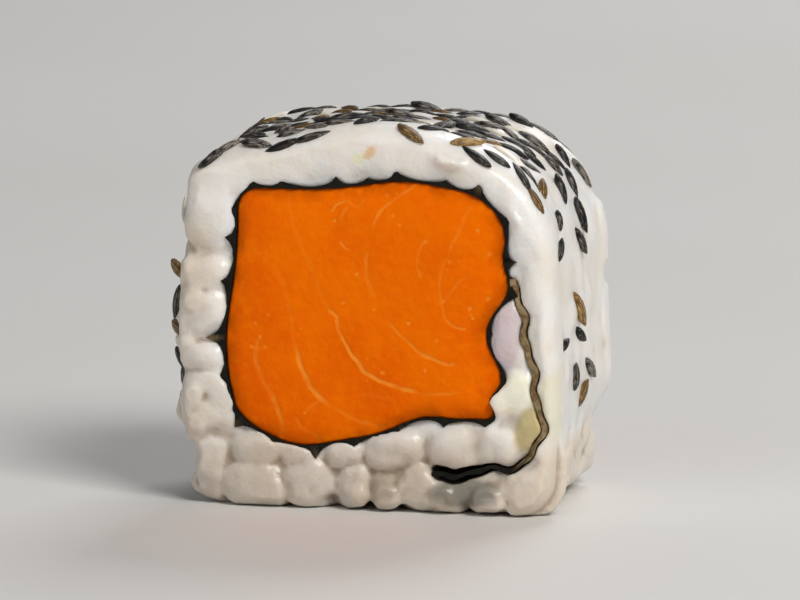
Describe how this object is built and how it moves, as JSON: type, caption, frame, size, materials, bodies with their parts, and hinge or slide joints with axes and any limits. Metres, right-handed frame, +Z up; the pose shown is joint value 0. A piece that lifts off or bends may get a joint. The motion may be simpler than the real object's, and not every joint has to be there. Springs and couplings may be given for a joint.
{
  "type": "uramaki roll piece",
  "caption": "Cut piece of inside-out sushi roll: raw salmon block wrapped in nori, inside a layer of white rice coated with sesame seeds, standing on its side.",
  "frame": {"origin": "bottom centre of the piece's bounding box, on the surface that it rests on", "axes": "+Z up, Y along the roll with the shown cut face towards -Y, +X to the right seen from that face"},
  "size_m": [0.0382, 0.0238, 0.0374],
  "materials": {
    "salmon": "raw salmon, moist, orange with fine pale fat lines",
    "nori": "damp dark green-black seaweed sheet",
    "rice": "cooked short-grain rice, moist and slightly translucent, with black, brown and tan sesame seeds"
  },
  "bodies": {
    "root": {"salmon": "salmon", "nori": "nori", "rice": "rice"}
  },
  "joints": []
}
